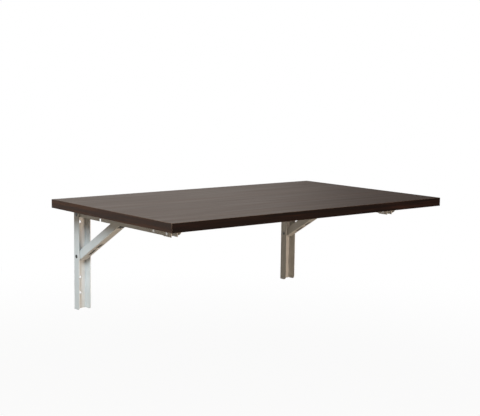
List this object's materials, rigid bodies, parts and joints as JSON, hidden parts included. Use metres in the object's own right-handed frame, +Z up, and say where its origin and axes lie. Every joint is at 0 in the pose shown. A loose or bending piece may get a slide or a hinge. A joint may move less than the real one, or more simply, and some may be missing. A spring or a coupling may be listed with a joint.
{
  "type": "wall mounted drop leaf table",
  "caption": "Dark wood-grain table leaf carried by white folding steel wall brackets. Pressing the levers frees the braces, and the leaf folds down flat against the wall.",
  "frame": {"origin": "centre of the rectangle of outer wall screw holes, on the wall plane", "axes": "+Z up, +Y into the wall, +X along the board to the right as seen from the front"},
  "size_m": [1, 0.602, 0.333],
  "materials": {
    "core": "raw chipboard",
    "laminate": "dark wood-grain laminate, satin",
    "edge_band": "dark wood-grain edge band, satin",
    "powder_coat": "smooth white powder coat",
    "rivet": "zinc plated steel",
    "washer": "grey nylon",
    "lever": "dark grey-green paint",
    "screw": "zinc plated steel"
  },
  "bodies": {
    "wall": {"left_wall_channel": "powder_coat", "left_arm_pivot_rivet": "rivet", "left_arm_pivot_washers": "washer", "left_arm_pivot_sleeve": "washer", "left_brace_pivot_rivet": "rivet", "left_brace_pivot_bushes": "washer", "left_brace_pivot_sleeve": "washer", "right_wall_channel": "powder_coat", "right_arm_pivot_rivet": "rivet", "right_arm_pivot_washers": "washer", "right_arm_pivot_sleeve": "washer", "right_brace_pivot_rivet": "rivet", "right_brace_pivot_bushes": "washer", "right_brace_pivot_sleeve": "washer"},
    "leaf": {"tabletop_core": "core", "top_laminate": "laminate", "bottom_laminate": "laminate", "front_edge_band": "edge_band", "back_edge_band": "edge_band", "left_edge_band": "edge_band", "right_edge_band": "edge_band", "left_arm_channel": "powder_coat", "left_lock_rail": "powder_coat", "left_rail_rivets": "rivet", "left_arm_screws": "screw", "right_arm_channel": "powder_coat", "right_lock_rail": "powder_coat", "right_rail_rivets": "rivet", "right_arm_screws": "screw"},
    "left_brace": {"left_brace_channel": "powder_coat", "left_tip_pin": "rivet"},
    "left_lever": {"left_release_lever": "lever", "left_lever_spring": "rivet"},
    "right_brace": {"right_brace_channel": "powder_coat", "right_tip_pin": "rivet"},
    "right_lever": {"right_release_lever": "lever", "right_lever_spring": "rivet"}
  },
  "joints": [
    {"name": "leaf_fold", "type": "hinge", "parent": "wall", "child": "leaf", "pos_m": [0, -0.015, 0.132], "axis": [1, 0, 0], "range_deg": [0, 90]},
    {"name": "left_brace_fold", "type": "hinge", "parent": "wall", "child": "left_brace", "pos_m": [-0.406, -0.015, 0.006], "axis": [1, 0, 0], "range_deg": [0, 120.53]},
    {"name": "left_lever_press", "type": "hinge", "parent": "left_brace", "child": "left_lever", "pos_m": [-0.406, -0.2338, 0.135], "axis": [1, 0, 0], "range_deg": [0, 18], "stiffness_Nm_per_rad": 0.6, "springref_deg": -8.59, "deforming": ["left_lever_spring"]},
    {"name": "right_brace_fold", "type": "hinge", "parent": "wall", "child": "right_brace", "pos_m": [0.406, -0.015, 0.006], "axis": [1, 0, 0], "range_deg": [0, 120.53]},
    {"name": "right_lever_press", "type": "hinge", "parent": "right_brace", "child": "right_lever", "pos_m": [0.406, -0.2338, 0.135], "axis": [1, 0, 0], "range_deg": [0, 18], "stiffness_Nm_per_rad": 0.6, "springref_deg": -8.59, "deforming": ["right_lever_spring"]}
  ],
  "couplings": [
    {"joint": "left_brace_fold", "follows": "leaf_fold", "ratio": 1.3391},
    {"joint": "right_brace_fold", "follows": "leaf_fold", "ratio": 1.3391}
  ]
}
